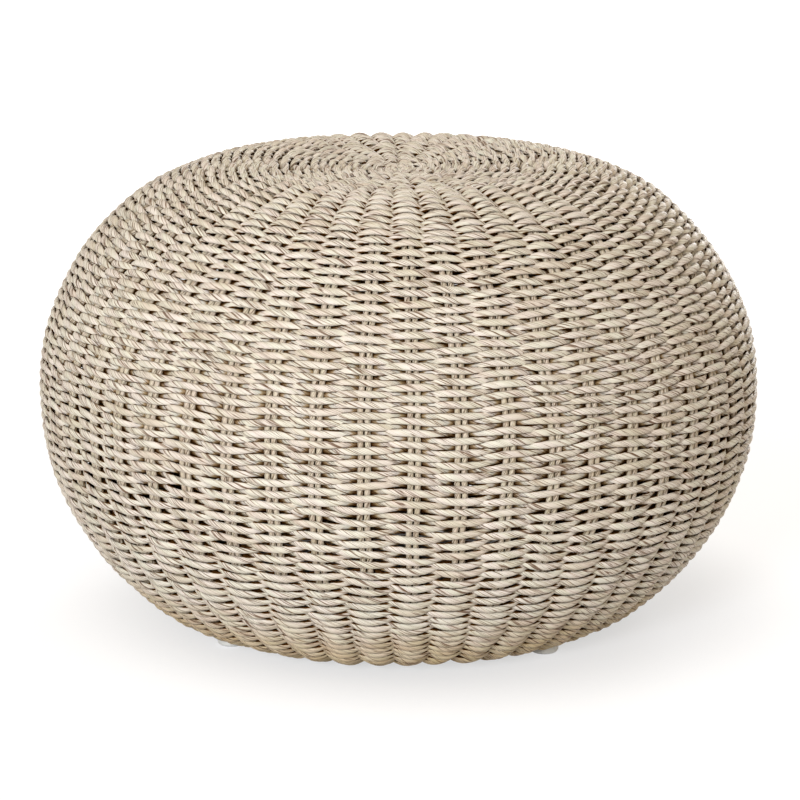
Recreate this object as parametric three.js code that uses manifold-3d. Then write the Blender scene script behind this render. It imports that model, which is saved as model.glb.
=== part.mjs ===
// A round woven outdoor ottoman that also serves as a footstool: an oblate woven skin
// on a hidden frame of bent aluminium tube, standing on four plastic glides.
// Millimetres, +Z up, origin on the floor below the centre, feet on the diagonals.

import * as THREE from "three";
import { mergeVertices } from "three/addons/utils/BufferGeometryUtils.js";
import Module from "manifold-3d";

const wasm = await Module();
wasm.setup();

// Overall sizes
const BODY_RADIUS = 305;
const SEAT_HEIGHT = 385.5;
const RIM_CLEARANCE = 4.5;

// Woven skin
const WEAVE_THICKNESS = 12;
const SKIN_GAP = 0.4;
const ROUND_SECTIONS = 48;

// Outline of the skin from the middle of the seat to the base, as shares of the body's
// radius and of the height between the rim's clearance and the seat
const OUTLINE_SHARES = [
  [0, 0.986],
  [0.3, 0.995],
  [0.48, 1],
  [0.62, 0.97],
  [0.755, 0.91],
  [0.89, 0.792],
  [0.98, 0.64],
  [1, 0.474],
  [0.962, 0.308],
  [0.862, 0.16],
  [0.728, 0.046],
  [0.634, 0.006],
];

// Stretches of the skin, as shares of the outline's length, with the steps of each
const PLAIN_STRETCHES = {
  woven_seat: { fromShare: 0, toShare: 0.27, steps: 4 },
  woven_base: { fromShare: 0.77, toShare: 0.96, steps: 5 },
};
const RELIEF_STRETCHES = {
  woven_shoulder: { fromShare: 0.27, toShare: 0.52, steps: 5 },
  woven_waist: { fromShare: 0.52, toShare: 0.77, steps: 5 },
};

// Relief of the weave: courses that pass over one pair of stakes and under the next
const STAKE_PAIR_COUNT = 51;
const FIRST_STAKE_ANGLE = Math.PI / 200;
const RELIEF_DEPTH = 5.5;
const RELIEF_STEPS = 12;
const STEPS_PER_COURSE = 2;
const SECTIONS_PER_PAIR = 2;

// Woven border, wrapped from the end of the outline under the base ring and up its inner side
const BORDER_START_SHARE = 0.96;
const BORDER_START_STEPS = 2;
const BORDER_TURN = Math.PI * 0.62;
const BORDER_STEPS = 6;

// Frame of bent tube
const RING_TUBE_RADIUS = 8;
const RIB_TUBE_RADIUS = 6;
const BAR_TUBE_RADIUS = 5;
const TUBE_SIDES = 8;
const FRAME_GAP = 0.6;
const WELD_GAP = 0.3;
const SEAT_RING_SHARE = 0.2;
const WAIST_RING_SHARE = 0.62;
const RIB_COUNT = 8;
const RIB_STEPS = 5;

// Feet: a boss under the base ring, a glide and the screw that holds it
const FOOT_COUNT = 4;
const FOOT_SECTIONS = 16;
const BOSS_RADIUS = 7;
const GLIDE_RADIUS = 12;
const GLIDE_HEIGHT = 8;
const GLIDE_EDGE_RADIUS = 3;
const GLIDE_EDGE_STEPS = 3;
const SCREW_RADIUS = 3;
const SCREW_HEAD_RADIUS = 5.5;
const SCREW_HEAD_HEIGHT = 3;
const SCREW_HEAD_RECESS = 1.5;
const SCREW_REACH = 4;
const HOLE_GAP = 0.3;
const NOTCH_GAP = 0.4;
const CUT_OVERRUN = 5;

const materials = {
  weave: new THREE.MeshStandardMaterial({ color: 0xd3c5ad, roughness: 0.7, metalness: 0 }),
  frame: new THREE.MeshStandardMaterial({ color: 0x8f8775, roughness: 0.5, metalness: 0.6 }),
  glide: new THREE.MeshStandardMaterial({ color: 0xc4c6c8, roughness: 0.35, metalness: 0 }),
  steel: new THREE.MeshStandardMaterial({ color: 0xa9abad, roughness: 0.3, metalness: 1 }),
};

const model = new THREE.Group();

// Adds one named piece to the model
function place(name, geometry, material) {
  const mesh = new THREE.Mesh(geometry, material);
  mesh.name = name;
  model.add(mesh);
  return mesh;
}

// Turns a half outline of [radius, height] points into a solid around +Z
function revolve(points, sections) {
  const outline = points.map(([radius, height]) => new THREE.Vector2(radius, height));
  return new THREE.LatheGeometry(outline, sections).rotateX(Math.PI / 2);
}

// Closes a band round +Z from the loop of [radius, height] points at each of its sections
function wind(loopAt, sections, start) {
  const loops = Array.from({ length: sections }, (_, section) => loopAt(section));
  const size = loops[0].length;
  const positions = loops.flatMap((loop, section) => {
    const angle = placeAngle(section, sections, start);
    return loop.flatMap(([radius, height]) => [radius * Math.cos(angle), radius * Math.sin(angle), height]);
  });
  const indices = loops.flatMap((loop, section) => {
    const here = section * size;
    const next = ((section + 1) % sections) * size;
    return loop.flatMap((_, corner) => {
      const other = (corner + 1) % size;
      const [a, b, c, d] = [here + corner, next + corner, next + other, here + other];
      return (section + corner) % 2 === 0 ? [a, b, c, a, c, d] : [a, b, d, b, c, d];
    });
  });
  const geometry = new THREE.BufferGeometry();
  geometry.setAttribute("position", new THREE.Float32BufferAttribute(positions, 3));
  geometry.setIndex(indices);
  geometry.computeVertexNormals();
  return geometry;
}

// Converts a closed geometry to a solid for cutting
function toSolid(geometry) {
  const bare = geometry.clone();
  bare.deleteAttribute("normal");
  bare.deleteAttribute("uv");
  const welded = mergeVertices(bare);
  const vertProperties = new Float32Array(welded.attributes.position.array);
  const triVerts = new Uint32Array(welded.index.array);
  const mesh = new wasm.Mesh({ numProp: 3, vertProperties, triVerts });
  mesh.merge();
  return new wasm.Manifold(mesh);
}

// Converts a cut solid back to a geometry
function toGeometry(solid) {
  const mesh = solid.getMesh();
  const geometry = new THREE.BufferGeometry();
  geometry.setAttribute("position", new THREE.BufferAttribute(mesh.vertProperties, mesh.numProp));
  geometry.setIndex(new THREE.BufferAttribute(mesh.triVerts, 1));
  geometry.computeVertexNormals();
  return geometry;
}

// Cuts a geometry with each of the tools
function cut(geometry, tools) {
  const left = tools.reduce((solid, tool) => solid.subtract(toSolid(tool)), toSolid(geometry));
  return toGeometry(left);
}

// A solid rod or disc around +Z between two heights
function rod(radius, bottom, top, sections) {
  return revolve([[0, bottom], [radius, bottom], [radius, top], [0, top]], sections);
}

// The angle of one of several equal places round the axis
function placeAngle(index, count, start) {
  return start + (index * 2 * Math.PI) / count;
}

// Outline of the skin as a smooth curve, radius along x and height along y
const outlineHeight = SEAT_HEIGHT - RIM_CLEARANCE;
const outline = new THREE.SplineCurve(
  OUTLINE_SHARES.map(([radiusShare, heightShare]) =>
    new THREE.Vector2(radiusShare * BODY_RADIUS, RIM_CLEARANCE + heightShare * outlineHeight)
  )
);
const outlineLength = outline.getLength();

// A point of the outline, moved straight into the body by a depth
function outlinePoint(share, depth) {
  const point = outline.getPointAt(share);
  const along = outline.getTangentAt(share);
  const level = share === 0 ? new THREE.Vector2(1, 0) : along;
  return [point.x + level.y * depth, point.y - level.x * depth];
}

// Evenly spread values from one end to the other
function spread(from, to, steps) {
  return Array.from({ length: steps + 1 }, (_, i) => from + ((to - from) * i) / steps);
}

// One stretch of the woven skin, a band of even thickness
const halfGapShare = SKIN_GAP / 2 / outlineLength;
function plainStretch({ fromShare, toShare, steps }) {
  const start = fromShare === 0 ? 0 : fromShare + halfGapShare;
  const shares = spread(start, toShare - halfGapShare, steps);
  const inner = shares.map((share) => outlinePoint(share, WEAVE_THICKNESS));
  const outer = shares.map((share) => outlinePoint(share, 0)).reverse();
  const loop = [...inner, ...outer];
  return fromShare === 0 ? loop : [...loop, loop[0]];
}

// Depth of the weave's relief below the outline, none at the ends of a stretch. An odd number
// of pairs makes each course move on by one in a turn, so that the courses wind on unbroken
const reliefSections = SECTIONS_PER_PAIR * STAKE_PAIR_COUNT;
const coursesPerTurn = STAKE_PAIR_COUNT % 2;
function reliefDepth(section, step) {
  if (step === 0 || step === RELIEF_STEPS) return 0;
  const pairs = section / SECTIONS_PER_PAIR;
  const courses = step / STEPS_PER_COURSE - (coursesPerTurn * section) / reliefSections;
  const over = Math.SQRT2 * Math.cos(Math.PI * pairs) * Math.cos(Math.PI * courses);
  return (RELIEF_DEPTH * (1 - THREE.MathUtils.clamp(over, -1, 1))) / 2;
}

// One stretch of the skin with the weave's relief on its outside
function reliefStretch({ fromShare, toShare, steps }) {
  const ends = [fromShare + halfGapShare, toShare - halfGapShare];
  const inner = spread(...ends, steps).map((share) => outlinePoint(share, WEAVE_THICKNESS));
  const outerShares = spread(...ends, RELIEF_STEPS);
  return (section) => {
    const outer = outerShares.map((share, step) => outlinePoint(share, reliefDepth(section, step)));
    return [...inner, ...outer.reverse()];
  };
}

// Centre of a frame ring that lies against the inside of the skin
const ringDepth = WEAVE_THICKNESS + FRAME_GAP + RING_TUBE_RADIUS;
function ringCentre(share) {
  const [radius, height] = outlinePoint(share, ringDepth);
  return { radius, height };
}

const seatRing = ringCentre(SEAT_RING_SHARE);
const waistRing = ringCentre(WAIST_RING_SHARE);
const baseRing = ringCentre(1);

// A round bar bent to a full ring
function ringTube(ring, tubeRadius) {
  const torus = new THREE.TorusGeometry(ring.radius, tubeRadius, TUBE_SIDES, ROUND_SECTIONS);
  return torus.translate(0, 0, ring.height);
}

// The space that a ring takes from the pieces welded to it
function ringSeat(ring) {
  return ringTube(ring, RING_TUBE_RADIUS + WELD_GAP);
}

// A round bar along a path
function barAlong(path, tubeRadius, steps) {
  const section = new THREE.Shape().absarc(0, 0, tubeRadius, 0, 2 * Math.PI);
  const settings = { steps, curveSegments: TUBE_SIDES / 2, bevelEnabled: false, extrudePath: path };
  return new THREE.ExtrudeGeometry(section, settings);
}

// A rib that follows the skin's inside between two rings
function rib(fromShare, toShare, ends) {
  const points = spread(fromShare, toShare, RIB_STEPS).map((share) => {
    const [radius, height] = outlinePoint(share, ringDepth);
    return new THREE.Vector3(radius, 0, height);
  });
  const bar = barAlong(new THREE.CatmullRomCurve3(points), RIB_TUBE_RADIUS, RIB_STEPS);
  return cut(bar, ends.map(ringSeat));
}

// Woven skin
for (const [name, stretch] of Object.entries(PLAIN_STRETCHES)) {
  place(name, revolve(plainStretch(stretch), ROUND_SECTIONS), materials.weave);
}
for (const [name, stretch] of Object.entries(RELIEF_STRETCHES)) {
  const band = wind(reliefStretch(stretch), reliefSections, FIRST_STAKE_ANGLE);
  place(name, band, materials.weave);
}

// Feet on the diagonals, under the base ring
const footStart = Math.PI / FOOT_COUNT;
const bossBottom = GLIDE_HEIGHT + WELD_GAP;
const screwBottom = SCREW_HEAD_RECESS;
const screwShoulder = SCREW_HEAD_RECESS + SCREW_HEAD_HEIGHT;
const screwTop = baseRing.height - RING_TUBE_RADIUS + SCREW_REACH;
const screwHoleRadius = SCREW_RADIUS + HOLE_GAP;
const headHoleRadius = SCREW_HEAD_RADIUS + HOLE_GAP;

// Moves a foot's geometry from the axis to its place under the base ring
function atFoot(geometry, index) {
  const angle = placeAngle(index, FOOT_COUNT, footStart);
  return geometry.translate(baseRing.radius * Math.cos(angle), baseRing.radius * Math.sin(angle), 0);
}

// One copy of a foot's tool at each foot
function atFeet(makeTool) {
  return Array.from({ length: FOOT_COUNT }, (_, index) => atFoot(makeTool(), index));
}

function bossNotch() {
  return rod(BOSS_RADIUS + NOTCH_GAP, GLIDE_HEIGHT - CUT_OVERRUN, baseRing.height, FOOT_SECTIONS);
}

function glideNotch() {
  return rod(GLIDE_RADIUS + NOTCH_GAP, -CUT_OVERRUN, GLIDE_HEIGHT + NOTCH_GAP, FOOT_SECTIONS);
}

function screwHole() {
  return rod(screwHoleRadius, -CUT_OVERRUN, screwTop + HOLE_GAP, FOOT_SECTIONS);
}

// Woven border round the base ring: the last of the outline, then a turn round the ring
function borderOutline() {
  const shares = spread(BORDER_START_SHARE + halfGapShare, 1, BORDER_START_STEPS);
  const [endRadius, endHeight] = outlinePoint(1, 0);
  const startAngle = Math.atan2(endHeight - baseRing.height, endRadius - baseRing.radius);
  const angles = spread(startAngle, startAngle - BORDER_TURN, BORDER_STEPS).slice(1);
  const edge = (depth) => [
    ...shares.map((share) => outlinePoint(share, depth)),
    ...angles.map((angle) => [
      baseRing.radius + (ringDepth - depth) * Math.cos(angle),
      baseRing.height + (ringDepth - depth) * Math.sin(angle),
    ]),
  ];
  const loop = [...edge(WEAVE_THICKNESS), ...edge(0).reverse()];
  return [...loop, loop[0]];
}

const border = revolve(borderOutline(), ROUND_SECTIONS);
const footNotches = [...atFeet(bossNotch), ...atFeet(glideNotch)];
place("woven_border", cut(border, footNotches), materials.weave);

// Frame rings, the base ring drilled for the screws
place("seat_ring", ringTube(seatRing, RING_TUBE_RADIUS), materials.frame);
place("waist_ring", ringTube(waistRing, RING_TUBE_RADIUS), materials.frame);
place("base_ring", cut(ringTube(baseRing, RING_TUBE_RADIUS), atFeet(screwHole)), materials.frame);

// Ribs, each in an upper and a lower length, between the feet's places
const ribStart = Math.PI / RIB_COUNT;
const upperRib = rib(SEAT_RING_SHARE, WAIST_RING_SHARE, [seatRing, waistRing]);
const lowerRib = rib(WAIST_RING_SHARE, 1, [waistRing, baseRing]);
for (let index = 0; index < RIB_COUNT; index += 1) {
  const angle = placeAngle(index, RIB_COUNT, ribStart);
  place(`upper_rib_${index + 1}`, upperRib.clone(), materials.frame).rotation.z = angle;
  place(`lower_rib_${index + 1}`, lowerRib.clone(), materials.frame).rotation.z = angle;
}

// Bars that cross the seat ring under the middle of the seat
const barHeight = outlinePoint(0, WEAVE_THICKNESS)[1] - FRAME_GAP - BAR_TUBE_RADIUS;

function seatBar(from, to, tubeRadius) {
  const path = new THREE.LineCurve3(
    new THREE.Vector3(from, 0, barHeight),
    new THREE.Vector3(to, 0, barHeight)
  );
  return barAlong(path, tubeRadius, 1);
}

const crossBar = seatBar(-seatRing.radius, seatRing.radius, BAR_TUBE_RADIUS);
place("seat_cross_bar", cut(crossBar, [ringSeat(seatRing)]), materials.frame);

const crossSeat = seatBar(-seatRing.radius, seatRing.radius, BAR_TUBE_RADIUS + WELD_GAP);
const halfBar = seatBar(0, seatRing.radius, BAR_TUBE_RADIUS).rotateZ(Math.PI / 2);
const halfBarCut = cut(halfBar, [ringSeat(seatRing), crossSeat]);
place("seat_half_bar_1", halfBarCut.clone(), materials.frame);
place("seat_half_bar_2", halfBarCut.clone(), materials.frame).rotation.z = Math.PI;

// Boss: a drilled spacer from the glide up to the base ring
function boss(index) {
  const blank = revolve(
    [
      [screwHoleRadius, bossBottom],
      [BOSS_RADIUS, bossBottom],
      [BOSS_RADIUS, baseRing.height],
      [screwHoleRadius, baseRing.height],
      [screwHoleRadius, bossBottom],
    ],
    FOOT_SECTIONS
  );
  return cut(atFoot(blank, index), [ringSeat(baseRing)]);
}

// Glide: a disc with a rounded lower edge and a countersunk hole for the screw's head
function glideOutline() {
  const flatRadius = GLIDE_RADIUS - GLIDE_EDGE_RADIUS;
  const edge = spread(0, Math.PI / 2, GLIDE_EDGE_STEPS).map((turn) => [
    flatRadius + GLIDE_EDGE_RADIUS * Math.sin(turn),
    GLIDE_EDGE_RADIUS - GLIDE_EDGE_RADIUS * Math.cos(turn),
  ]);
  return [
    [headHoleRadius, 0],
    ...edge,
    [GLIDE_RADIUS, GLIDE_HEIGHT],
    [screwHoleRadius, GLIDE_HEIGHT],
    [screwHoleRadius, screwShoulder + HOLE_GAP],
    [headHoleRadius, screwShoulder + HOLE_GAP],
    [headHoleRadius, 0],
  ];
}

// Screw: a flat head in the glide and a shank up into the base ring
function screwOutline() {
  return [
    [0, screwBottom],
    [SCREW_HEAD_RADIUS, screwBottom],
    [SCREW_HEAD_RADIUS, screwShoulder],
    [SCREW_RADIUS, screwShoulder],
    [SCREW_RADIUS, screwTop],
    [0, screwTop],
  ];
}

for (let index = 0; index < FOOT_COUNT; index += 1) {
  place(`foot_boss_${index + 1}`, boss(index), materials.frame);
  place(`glide_${index + 1}`, atFoot(revolve(glideOutline(), FOOT_SECTIONS), index), materials.glide);
  place(`glide_screw_${index + 1}`, atFoot(revolve(screwOutline(), FOOT_SECTIONS), index), materials.steel);
}

export default model;
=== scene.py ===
import math

import bpy
from mathutils import Matrix, Vector


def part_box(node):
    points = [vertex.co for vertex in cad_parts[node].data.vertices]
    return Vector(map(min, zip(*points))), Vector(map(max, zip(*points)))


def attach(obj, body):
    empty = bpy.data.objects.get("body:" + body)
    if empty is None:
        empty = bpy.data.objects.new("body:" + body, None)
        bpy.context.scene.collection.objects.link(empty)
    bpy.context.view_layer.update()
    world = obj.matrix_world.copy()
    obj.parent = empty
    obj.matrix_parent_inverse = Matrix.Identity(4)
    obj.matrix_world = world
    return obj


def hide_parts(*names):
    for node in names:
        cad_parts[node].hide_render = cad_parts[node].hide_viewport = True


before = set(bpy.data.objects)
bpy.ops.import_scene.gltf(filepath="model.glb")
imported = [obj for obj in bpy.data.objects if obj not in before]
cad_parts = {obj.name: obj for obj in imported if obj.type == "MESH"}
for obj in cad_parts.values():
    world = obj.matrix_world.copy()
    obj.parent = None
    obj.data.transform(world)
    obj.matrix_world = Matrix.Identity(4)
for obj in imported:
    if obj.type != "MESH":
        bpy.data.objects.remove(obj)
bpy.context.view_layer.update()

# Frame
# A cage of bent round aluminium tube, welded where the ribs and bars meet the rings, and powder
# coated in dark taupe. The skin is woven over it, so it shows only from below and through the gaps.
RING_TUBE = 0.008
RIB_TUBE = 0.006
BAR_TUBE = 0.005
RIB_COUNT = 8
FIRST_RIB = math.pi / RIB_COUNT
FOOT_COUNT = 4
WELD_OVERLAP = 0.0025
TUBE_SIDES = 24
RING_SIDES = 120
ORANGE_PEEL = 0.0006
PEEL_COARSENED = 4
PAINT_CLOUDS_PER_METRE = 22


def linear(hex_colour):
    """An sRGB hex colour as the linear colour that a node takes."""
    parts = [int(hex_colour[start:start + 2], 16) / 255 for start in (1, 3, 5)]
    return [
        part / 12.92 if part <= 0.04045 else ((part + 0.055) / 1.055) ** 2.4 for part in parts
    ] + [1]


def add(tree, kind, sockets, **settings):
    """Adds a node, sets or links its inputs, and gives its outputs."""
    node = tree.nodes.new(kind)
    for name, value in settings.items():
        setattr(node, name, value)
    for name, value in sockets.items():
        if isinstance(value, bpy.types.NodeSocket):
            tree.links.new(value, node.inputs[name])
        else:
            node.inputs[name].default_value = value
    return node.outputs


def material_tree(name):
    """A new material, and its tree with nothing in it."""
    material = bpy.data.materials.new(name)
    material.use_nodes = True
    material.node_tree.nodes.clear()
    return material, material.node_tree


# Powder-coated aluminium: an even, slightly orange-peeled paint that is half matt. The peel is too
# fine to show, so it is drawn four times as coarse as it is.
coat, tree = material_tree("powder_coated_aluminium")
place = add(tree, "ShaderNodeTexCoord", {})["Object"]
peel = add(tree, "ShaderNodeTexNoise", {
    "Vector": place, "Scale": 1 / ORANGE_PEEL / PEEL_COARSENED, "Detail": 2.0,
})
cloud = add(tree, "ShaderNodeTexNoise", {
    "Vector": place, "Scale": PAINT_CLOUDS_PER_METRE, "Detail": 3.0,
})
paint = add(tree, "ShaderNodeValToRGB", {"Fac": cloud["Fac"]})
ramp = paint[0].node.color_ramp.elements
ramp[0].position, ramp[0].color = 0.35, linear("#584c3f")
ramp[1].position, ramp[1].color = 0.65, linear("#6a5d4e")
peel = add(tree, "ShaderNodeBump", {"Height": peel["Fac"], "Strength": 0.25, "Distance": 0.0002})
shader = add(tree, "ShaderNodeBsdfPrincipled", {
    "Base Color": paint["Color"], "Roughness": 0.42, "IOR": 1.5, "Normal": peel["Normal"],
})
add(tree, "ShaderNodeOutputMaterial", {"Surface": shader[0]})

# The outline of the woven body, which the ribs follow inside it. The shares are of the body's
# radius, and of the height from the rim's clearance to the seat.
BODY_RADIUS = 0.305
SEAT_HEIGHT = 0.3855
RIM_CLEARANCE = 0.0045
RING_DEPTH = 0.0206
SPAN_STEPS = 24
OUTLINE_SHARES = [
    (0, 0.986), (0.3, 0.995), (0.48, 1), (0.62, 0.97), (0.755, 0.91), (0.89, 0.792),
    (0.98, 0.64), (1, 0.474), (0.962, 0.308), (0.862, 0.16), (0.728, 0.046), (0.634, 0.006),
]
CORNERS = [
    Vector((across * BODY_RADIUS, 0, RIM_CLEARANCE + up * (SEAT_HEIGHT - RIM_CLEARANCE)))
    for across, up in OUTLINE_SHARES
]


def outline_point(span, part):
    """A point of the smooth curve through the corners, and the way it heads."""
    last = len(CORNERS) - 1
    before, start = CORNERS[max(span - 1, 0)], CORNERS[span]
    end, after = CORNERS[span + 1], CORNERS[min(span + 2, last)]
    rise = (end - before) / 2
    fall = (after - start) / 2
    bend = 3 * (end - start) - 2 * rise - fall
    twist = rise + fall - 2 * (end - start)
    point = start + rise * part + bend * part ** 2 + twist * part ** 3
    heading = rise + 2 * bend * part + 3 * twist * part ** 2
    return point, heading.normalized()


def inside(point, heading, depth):
    """The point moved in from the outline, square to it."""
    return point - Vector((-heading.z, 0, heading.x)) * depth


def new_object(name, data):
    """An object in the scene, with its data."""
    made = bpy.data.objects.new(name, data)
    bpy.context.collection.objects.link(made)
    return made


def path(name, lines, is_ring=False):
    """A curve object with one straight-stepped spline through each list of points."""
    curve = bpy.data.curves.new(name, "CURVE")
    curve.dimensions = "3D"
    for points in lines:
        spline = curve.splines.new("POLY")
        spline.use_cyclic_u = is_ring
        spline.points.add(len(points) - 1)
        for spline_point, point in zip(spline.points, points):
            spline_point.co = (*point, 1)
    return new_object(name, curve)


def new_tree(name, inputs, outputs):
    """A tree of geometry nodes with named inputs of some kinds, and what it is given."""
    tree = bpy.data.node_groups.new(name, "GeometryNodeTree")
    for way, kinds in (("INPUT", inputs), ("OUTPUT", outputs)):
        for kind, sockets in kinds.items():
            for socket in sockets:
                tree.interface.new_socket(socket, in_out=way, socket_type=f"NodeSocket{kind}")
    return tree, add(tree, "NodeGroupInput", {})


def turned_copies(tree, given, piece):
    """Copies of a piece, turned about the upright axis by even steps."""
    places = add(tree, "GeometryNodeMeshLine", {
        "Count": given["Copies"], "Offset": (0, 0, 0),
    })["Mesh"]
    index = add(tree, "GeometryNodeInputIndex", {})[0]
    turn = add(tree, "ShaderNodeMath", {0: index, 1: given["Copies"]}, operation="DIVIDE")[0]
    turn = add(tree, "ShaderNodeMath", {
        0: turn, 1: 2 * math.pi, 2: given["First angle"],
    }, operation="MULTIPLY_ADD")[0]
    turn = add(tree, "ShaderNodeCombineXYZ", {"Z": turn})[0]
    turn = add(tree, "FunctionNodeEulerToRotation", {"Euler": turn})[0]
    return add(tree, "GeometryNodeInstanceOnPoints", {
        "Points": places, "Instance": piece, "Rotation": turn,
    })[0]


def finish(tree, piece, material):
    """Ends a tree with smooth, real faces that have their material."""
    smooth = add(tree, "GeometryNodeSetShadeSmooth", {"Geometry": piece})[0]
    whole = add(tree, "GeometryNodeRealizeInstances", {"Geometry": smooth})[0]
    dressed = add(tree, "GeometryNodeSetMaterial", {"Geometry": whole, "Material": material})[0]
    add(tree, "NodeGroupOutput", {"Geometry": dressed})


def make(name, tree, sizes, slot, *nodes):
    """Adds the plain mesh that a tree makes. It rides on the body in place of the CAD nodes."""
    piece = new_object(name, bpy.data.meshes.new(name))
    modifier = piece.modifiers.new("nodes", "NODES")
    modifier.node_group = tree
    for socket in tree.interface.items_tree:
        if socket.in_out == "INPUT":
            modifier[socket.identifier] = sizes[socket.name]
    graph = bpy.context.evaluated_depsgraph_get()
    mesh = bpy.data.meshes.new_from_object(
        piece.evaluated_get(graph), preserve_all_data_layers=True, depsgraph=graph)
    piece.modifiers.remove(modifier)
    piece.data = mesh
    mesh.name = name
    if mesh.materials[0] is None:
        mesh.materials.pop(index=0)
    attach(piece, "root")
    if nodes:
        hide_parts(*nodes)


tubes, given = new_tree("bent_tubes", {
    "Object": ["Path"], "Float": ["Radius", "First angle"], "Int": ["Sides", "Copies"],
    "Material": ["Coat"],
}, {"Geometry": ["Geometry"]})
line = add(tubes, "GeometryNodeObjectInfo", {"Object": given["Path"]})["Geometry"]
section = add(tubes, "GeometryNodeCurvePrimitiveCircle", {
    "Resolution": given["Sides"], "Radius": given["Radius"],
}, mode="RADIUS")["Curve"]
tube = add(tubes, "GeometryNodeCurveToMesh", {
    "Curve": line, "Profile Curve": section, "Fill Caps": True,
})["Mesh"]
finish(tubes, turned_copies(tubes, given, tube), given["Coat"])

ring_centres = []
ring_nodes = ["seat_ring", "waist_ring", "base_ring"]
for name in ring_nodes:
    lowest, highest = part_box(name)
    ring_centres.append(Vector((highest[0] - RING_TUBE, 0, (lowest[2] + highest[2]) / 2)))
ring_angles = [2 * math.pi * side / RING_SIDES for side in range(RING_SIDES)]
circles = [
    [(centre.x * math.cos(angle), centre.x * math.sin(angle), centre.z) for angle in ring_angles]
    for centre in ring_centres
]
ring_path = path("ring_path", circles, is_ring=True)

inner_line = [
    inside(*outline_point(span, step / SPAN_STEPS), RING_DEPTH)
    for span in range(len(CORNERS) - 1) for step in range(SPAN_STEPS)
]
rib_lines = []
rib_ends = []
for start, end in zip(ring_centres, ring_centres[1:]):
    between = [
        point for point in inner_line
        if end.z < point.z < start.z and (point.x > start.x or start.z < ring_centres[0].z)
        and min((point - start).length, (point - end).length) > RING_TUBE
    ]
    first_way = (between[0] - start).normalized()
    last_way = (between[-1] - end).normalized()
    rib_lines.append([
        start + first_way * (RING_TUBE - WELD_OVERLAP), *between,
        end + last_way * (RING_TUBE - WELD_OVERLAP),
    ])
    rib_ends += [(start, first_way), (end, last_way)]
rib_path = path("rib_path", rib_lines)

lowest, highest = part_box("seat_cross_bar")
bar_height = (lowest[2] + highest[2]) / 2
bar_end = ring_centres[0].x - (RING_TUBE - WELD_OVERLAP)
cross_start = BAR_TUBE - WELD_OVERLAP
bar_path = path("bar_path", [
    [(-bar_end, 0, bar_height), (bar_end, 0, bar_height)],
    [(0, cross_start, bar_height), (0, bar_end, bar_height)],
    [(0, -cross_start, bar_height), (0, -bar_end, bar_height)],
])
rib_nodes = [f"{part}_rib_{rib + 1}" for part in ("upper", "lower") for rib in range(RIB_COUNT)]
bar_nodes = ["seat_cross_bar", "seat_half_bar_1", "seat_half_bar_2"]
for name, tube_path, radius, copies, first_angle, nodes in (
    ("frame_rings", ring_path, RING_TUBE, 1, 0.0, ring_nodes),
    ("frame_ribs", rib_path, RIB_TUBE, RIB_COUNT, FIRST_RIB, rib_nodes),
    ("seat_bars", bar_path, BAR_TUBE, 1, 0.0, bar_nodes),
):
    make(name, tubes, {
        "Path": tube_path, "Radius": radius, "Sides": TUBE_SIDES, "Copies": copies,
        "First angle": first_angle, "Coat": coat,
    }, "frame_tube", *nodes)
    bpy.data.objects.remove(tube_path)

# Welds
# A rippled bead of weld metal runs round each joint of the frame, where one tube meets the side
# of another. It is laid by hand before the powder coat, which covers it as well.
WELD_BEAD = 0.0013
WELD_RIPPLES = 11.0
RIPPLE_SHARE = 0.16
WELD_STEPS = 44
BEAD_SIDES = 8

welds, given = new_tree("weld_beads", {
    "Object": ["Places"], "Int": ["Copies"], "Material": ["Coat"],
    "Float": ["Tube radius", "Ring radius", "Offset", "Bead radius", "Ripples", "First angle"],
}, {"Geometry": ["Geometry"]})
seam = add(welds, "GeometryNodeCurvePrimitiveCircle", {"Resolution": WELD_STEPS}, mode="RADIUS")[0]
index = add(welds, "GeometryNodeInputIndex", {})[0]
angle = add(welds, "ShaderNodeMath", {
    0: index, 1: 2 * math.pi / WELD_STEPS,
}, operation="MULTIPLY")[0]
wide, across = (
    add(welds, "ShaderNodeMath", {0: angle}, operation=part)[0] for part in ("COSINE", "SINE")
)
wide, across = (
    add(welds, "ShaderNodeMath", {0: share, 1: given["Tube radius"]}, operation="MULTIPLY")[0]
    for share in (wide, across)
)
aside = add(welds, "ShaderNodeMath", {0: across, 1: given["Offset"]})[0]
aside, up = (
    add(welds, "ShaderNodeMath", {0: size, 1: size}, operation="MULTIPLY")[0]
    for size in (aside, given["Ring radius"])
)
for operation, other in (("SUBTRACT", aside), ("MAXIMUM", 0.0), ("SQRT", 0.0)):
    up = add(welds, "ShaderNodeMath", {0: up, 1: other}, operation=operation)[0]
spot = add(welds, "ShaderNodeCombineXYZ", {"X": wide, "Y": across, "Z": up})[0]
seam = add(welds, "GeometryNodeSetPosition", {"Geometry": seam, "Position": spot})[0]
ripple = add(welds, "ShaderNodeMath", {0: angle, 1: given["Ripples"]}, operation="MULTIPLY")[0]
ripple = add(welds, "ShaderNodeMath", {0: ripple}, operation="SINE")[0]
ripple = add(welds, "ShaderNodeMath", {
    0: ripple, 1: RIPPLE_SHARE, 2: 1.0,
}, operation="MULTIPLY_ADD")[0]
seam = add(welds, "GeometryNodeSetCurveRadius", {"Curve": seam, "Radius": ripple})[0]
section = add(welds, "GeometryNodeCurvePrimitiveCircle", {
    "Resolution": BEAD_SIDES, "Radius": given["Bead radius"],
}, mode="RADIUS")["Curve"]
bead = add(welds, "GeometryNodeCurveToMesh", {
    "Curve": seam, "Profile Curve": section, "Scale": ripple,
})["Mesh"]
points = add(welds, "GeometryNodeObjectInfo", {"Object": given["Places"]})["Geometry"]
heading = add(welds, "GeometryNodeInputNamedAttribute", {
    "Name": "heading",
}, data_type="FLOAT_VECTOR")[0]
heading = add(welds, "FunctionNodeEulerToRotation", {"Euler": heading})[0]
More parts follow.
